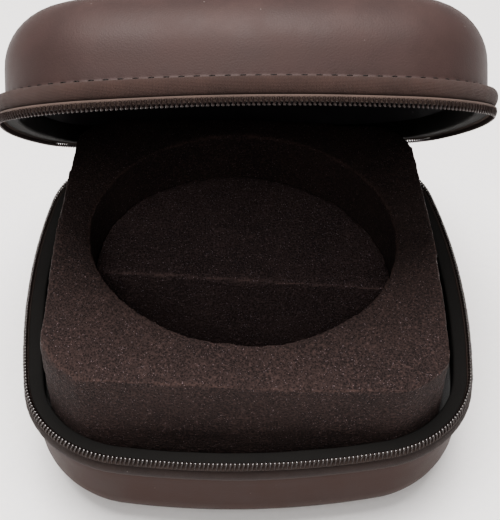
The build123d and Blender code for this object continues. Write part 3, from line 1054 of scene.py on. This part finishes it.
def cut_foam(name, node, voxel, wave, seed):
    """A CAD foam solid remeshed finely, its cut edges softened and its faces made to wander."""
    piece = node_copy(name, node)
    rough = piece.data
    remesh = piece.modifiers.new("Grid", "REMESH")
    remesh.mode = "VOXEL"
    remesh.voxel_size = voxel
    remesh.use_smooth_shade = True
    soften = piece.modifiers.new("Soften", "SMOOTH")
    soften.factor = 0.5
    soften.iterations = 2
    fine = piece.data = modified_mesh(piece)
    bpy.data.meshes.remove(rough)
    fine.name = name
    offset = Vector((seed, 2.3 * seed, 3.7 * seed))
    moved = []
    for vertex in fine.vertices:
        at = Vector(vertex.co)
        slow = noise.noise(at / 0.024 + offset)
        middling = noise.noise(at / 0.007 + offset)
        torn = noise.noise(at / 0.0022 + offset)
        wander = noise.noise(at / 0.045 - offset)
        push = wave * (1.1 * wander + 0.6 * slow + 0.2 * middling) + 0.00025 * torn
        # Trimmed a little low on the right of the front edge
        droop = 0.5 * (1 + math.tanh((at.x + 0.004) / 0.009)) * min(max(-at.y / 0.07, 0), 1) ** 2
        sunk = Vector((0, 0, -2.2 * wave * droop * max(vertex.normal.z, 0) ** 0.5))
        moved.append(at + vertex.normal * push + sunk)
    fine.vertices.foreach_set("co", np.array(moved).ravel())
    # Where the surface bends from top to side, which the foam's material lights up as a painted highlight
    bend = np.array([min(v.normal.z, 0.95) for v in fine.vertices])
    mark_edges(fine, np.clip(1 - abs(bend - 0.62) / 0.3, 0, 1))
    fine.shade_smooth()
    fine.update()
    return piece


class CASE_OT_insert(bpy.types.Operator):
    """Hand-cut foam insert: the block with its round well, and the half-moon step at its back"""

    bl_idname = "case.insert"
    bl_label = "Foam insert"

    def execute(self, context):
        sizes, colours = context.scene.case_sizes, context.scene.case_colours
        voxel = sizes.foam_voxel
        for name, node, seed, tone in (
            ("insert_block", "foam_block", 1.5, colours.foam),
            # The step's foam is a lighter, greyer copy of the block's: painted light in the shaded well
            ("insert_step", "foam_step", 4.5, tinted(colours.foam, 2.3, -0.08)),
        ):
            foam = material_of(foam_material, name + "_foam", tone, 0.00074, 0.0004)
            piece = cut_foam(name, node, voxel, sizes.foam_wave, seed)
            finish_piece(piece, "base", foam, "insert_foam", node)
        return {"FINISHED"}


def bent_cloth(name, half_span, path, thick, columns=48):
    """A strip of cloth along X that follows a path in the YZ plane, with its own thickness."""
    path = np.array(path, float)
    ahead = np.gradient(path, axis=0)
    ahead /= np.linalg.norm(ahead, axis=1)[:, None]
    normal = np.stack((ahead[:, 1], -ahead[:, 0]), 1)
    reach = np.concatenate(((0,), np.cumsum(np.linalg.norm(np.diff(path, axis=0), axis=1))))
    xs = np.linspace(-half_span, half_span, columns + 1)
    rows, wide = len(path), columns + 1
    sheet = rows * wide
    points, faces, uvs = [], [], []
    for side in (0.5, -0.5):
        for k in range(rows):
            for x in xs:
                ripple = 0.00012 * math.sin(x / 0.0031 + 2 * k / rows) * math.sin(math.pi * k / (rows - 1))
                y, z = path[k] + normal[k] * (side * thick + ripple)
                points.append((x, y, z))
    for side in (0, 1):
        for k in range(rows - 1):
            for i in range(columns):
                a = side * sheet + k * wide + i
                faces.append((a, a + 1, a + wide + 1, a + wide))
                low, high = reach[k], reach[k + 1]
                uvs += [(xs[i], low), (xs[i + 1], low), (xs[i + 1], high), (xs[i], high)]
    rim = list(range(wide)) + [k * wide + columns for k in range(1, rows)]
    rim += [(rows - 1) * wide + i for i in range(columns - 1, -1, -1)]
    rim += [k * wide for k in range(rows - 2, 0, -1)]
    for a, b in zip(rim, rim[1:] + rim[:1]):
        faces.append((a, b, b + sheet, a + sheet))
        uvs += [(0, 0), (0.0005, 0), (0.0005, 0.0005), (0, 0.0005)]
    return new_piece(name, points, faces, uvs)


def curve_through(start, pull, end, steps):
    """Points of a curve from start to end that bends towards pull."""
    ways = np.linspace(0, 1, steps + 1)
    return [(1 - t) ** 2 * start + 2 * t * (1 - t) * pull + t**2 * end for t in ways]


def finish_strip(piece, cloth, node):
    """Gives a hinge cloth its material, hides its CAD node and bakes its place into its points."""
    piece.data.materials.append(cloth)
    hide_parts(node)
    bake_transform(piece)


class CASE_OT_hinge(bpy.types.Operator):
    """Cloth spine outside and gusset inside, bent to the lid's open angle"""

    bl_idname = "case.hinge"
    bl_label = "Hinge cloths"

    def execute(self, context):
        sizes, colours = context.scene.case_sizes, context.scene.case_colours
        lid = Half("lid", sizes)
        axis = hinge_point[1:]
        # How far the cloth lies flat on each half, and where its bend starts
        spread, base_flat, lid_flat = 0.003, 0.0082, 0.0078

        def on_lid(at_y, height):
            return lid.place([(0, at_y, height)])[0][1:]

        tone = tinted(colours.tape, 0.4)
        cloth = material_of(cloth_material, "spine_cloth", tone, 0.0005, 0.5, 0.00012)
        last = on_lid(axis[0], lid_flat)
        direction = (last - axis) / np.linalg.norm(last - axis)
        start, end = axis - (0, spread), axis + direction * spread
        path = [axis - (0, base_flat - k * (base_flat - spread) / 4) for k in range(4)]
        path += curve_through(start, axis, end, 8)
        path += [end + (last - end) * k / 4 for k in range(1, 5)]
        spine = bent_cloth("hinge_cloth", hinge_half, path, 0.0007)
        finish_strip(spine, cloth, "hinge_spine")

        foot, inside = sizes.rim_drop - 0.0005, sizes.half_depth - 0.0034
        first, last = np.array((inside, sizes.base_depth - foot)), on_lid(inside, foot)
        path = curve_through(first, (first + last) / 2 - (0.0012, 0), last, 12)
        inner_half = hinge_half - 0.0015
        gusset = bent_cloth("hinge_inner_cloth", inner_half, path, 0.0005)
        finish_strip(gusset, cloth, "hinge_gusset")
        return {"FINISHED"}


def bevelled_copy(name, node, width):
    """A copy of a CAD node with its edges rounded and marked."""
    piece = node_copy(name, node, flatten=True)
    bevel = piece.modifiers.new("Round edges", "BEVEL")
    bevel.width = width
    bevel.segments = 3
    bevel.limit_method = "ANGLE"
    bevel.angle_limit = math.radians(35)
    fine = piece.data = modified_mesh(piece)
    fine.name = name
    work = bmesh.new()
    work.from_mesh(fine)
    bends = []
    for point in work.verts:
        long_edges = [e for e in point.link_edges if e.calc_length() > width]
        bends.append(max((e.calc_face_angle(0) for e in long_edges), default=0))
    work.free()
    mark_edges(fine, np.clip(np.array(bends) / math.radians(30), 0, 1))
    fine.shade_smooth()
    fine.set_sharp_from_angle(angle=math.radians(40))
    return piece


class CASE_OT_sliders(bpy.types.Operator):
    """Zip sliders and their pulls, in painted metal with rounded edges"""

    bl_idname = "case.sliders"
    bl_label = "Sliders and pulls"

    def execute(self, context):
        paint = material_of(metal_material, "slider_paint", context.scene.case_colours.metal)
        for side in ("left", "right"):
            for piece, node, body, rounding in (
                ("slider_body_", "zip_slider_", "slider_", 0.00025),
                ("pull_tab_", "zip_pull_", "pull_", 0.0003),
            ):
                made = bevelled_copy(piece + side, node + side, rounding)
                finish_piece(made, body + side, paint, "slider_metal", node + side)
        return {"FINISHED"}


# ---------------------------------------------------------------- floor, light and camera


def soft_light(name, place, target, size, power, tint):
    light = bpy.data.lights.new(name, "AREA")
    light.shape, light.size, light.energy, light.color = "DISK", size, power, tint
    lamp = placed(name, light)
    lamp.location = place
    lamp.rotation_euler = (Vector(target) - Vector(place)).to_track_quat("-Z", "Y").to_euler()


class CASE_OT_stage(bpy.types.Operator):
    """Floor, soft light and the camera"""

    bl_idname = "case.stage"
    bl_label = "Stage"

    def execute(self, context):
        scene = context.scene
        mesh = bpy.data.meshes.new("floor")
        reach, under = 3.0, -0.0001
        corners = [(x * reach, y * reach, under) for x, y in ((-1, -1), (1, -1), (1, 1), (-1, 1))]
        mesh.from_pydata(corners, [], [(0, 1, 2, 3)])
        floor = placed("floor", mesh)
        material, tree, shader, place = blank("floor_paper")
        grain = ramp(tree, noise_of(tree, place, 400.0, 4.0), 0.3, 0.7)
        paper = mixed(tree, grain, (0.93, 0.92, 0.915), (0.955, 0.945, 0.94))
        connect(tree, shader, {"Base Color": paper, "Roughness": 0.9, "Specular IOR Level": 0.2})
        mesh.materials.append(material)

        world = scene.world = bpy.data.worlds.new("studio")
        world.use_nodes = True
        tree = world.node_tree
        # The backdrop is as pale as the floor, and lights the case less than it shows
        seen = wire(tree, "ShaderNodeLightPath").outputs["Is Camera Ray"]
        strength = calc(tree, "MULTIPLY_ADD", seen, 1.05, 0.58)
        connect(tree, tree.nodes["Background"], {"Color": (1.0, 0.97, 0.955, 1), "Strength": strength})
        soft_light("key", (-0.08, 0.02, 1.3), (0, 0, 0.05), 1.0, 53, (1.0, 0.96, 0.94))
        soft_light("front", (-0.12, -0.60, 0.74), (0, 0, 0.06), 0.35, 3.2, (1.0, 0.97, 0.95))

        lens = bpy.data.cameras.new("camera")
        lens.sensor_width = 36
        lens.lens = 73.14
        lens.clip_start, lens.clip_end = 0.01, 20
        camera = scene.camera = placed("camera", lens)
        pitch, yaw, roll = 0.76707, -0.036, -0.009
        ahead = Vector((-math.sin(yaw), math.cos(yaw), 0))
        right = Vector((math.cos(yaw), math.sin(yaw), 0))
        up = ahead * math.sin(pitch) + Vector((0, 0, math.cos(pitch)))
        back = Vector((0, 0, math.sin(pitch))) - ahead * math.cos(pitch)
        across = right * math.cos(roll) - up * math.sin(roll)
        upright = right * math.sin(roll) + up * math.cos(roll)
        turned = Matrix((across, upright, back)).transposed().to_4x4()
        camera.matrix_world = Matrix.Translation((-0.00858, -0.27798, 0.3237)) @ turned
        return {"FINISHED"}


# ---------------------------------------------------------------- panel and registration


operators = (
    CASE_OT_stage,
    CASE_OT_skins,
    CASE_OT_inner_walls,
    CASE_OT_bindings,
    CASE_OT_tapes,
    CASE_OT_teeth,
    CASE_OT_bands,
    CASE_OT_threads,
    CASE_OT_insert,
    CASE_OT_hinge,
    CASE_OT_sliders,
)


class CASE_PT_panel(bpy.types.Panel):
    """Lists the case's pieces, sizes and colours"""

    bl_idname = "CASE_PT_panel"
    bl_label = "Headphone case"
    bl_space_type = "VIEW_3D"
    bl_region_type = "UI"
    bl_category = "Case"

    def draw(self, context):
        for operator in operators:
            self.layout.operator(operator.bl_idname)
        for settings in (context.scene.case_sizes, context.scene.case_colours):
            box = self.layout.box()
            for name in settings.__annotations__:
                box.prop(settings, name)


classes = (CaseSizes, CaseColours, *operators, CASE_PT_panel)


def register():
    for each in classes:
        bpy.utils.register_class(each)
    bpy.types.Scene.case_sizes = PointerProperty(type=CaseSizes)
    bpy.types.Scene.case_colours = PointerProperty(type=CaseColours)


def unregister():
    del bpy.types.Scene.case_colours
    del bpy.types.Scene.case_sizes
    for each in reversed(classes):
        bpy.utils.unregister_class(each)


def main():
    register()
    for operator in operators:
        family, name = operator.bl_idname.split(".")
        getattr(getattr(bpy.ops, family), name)()


if __name__ == "__main__":
    main()
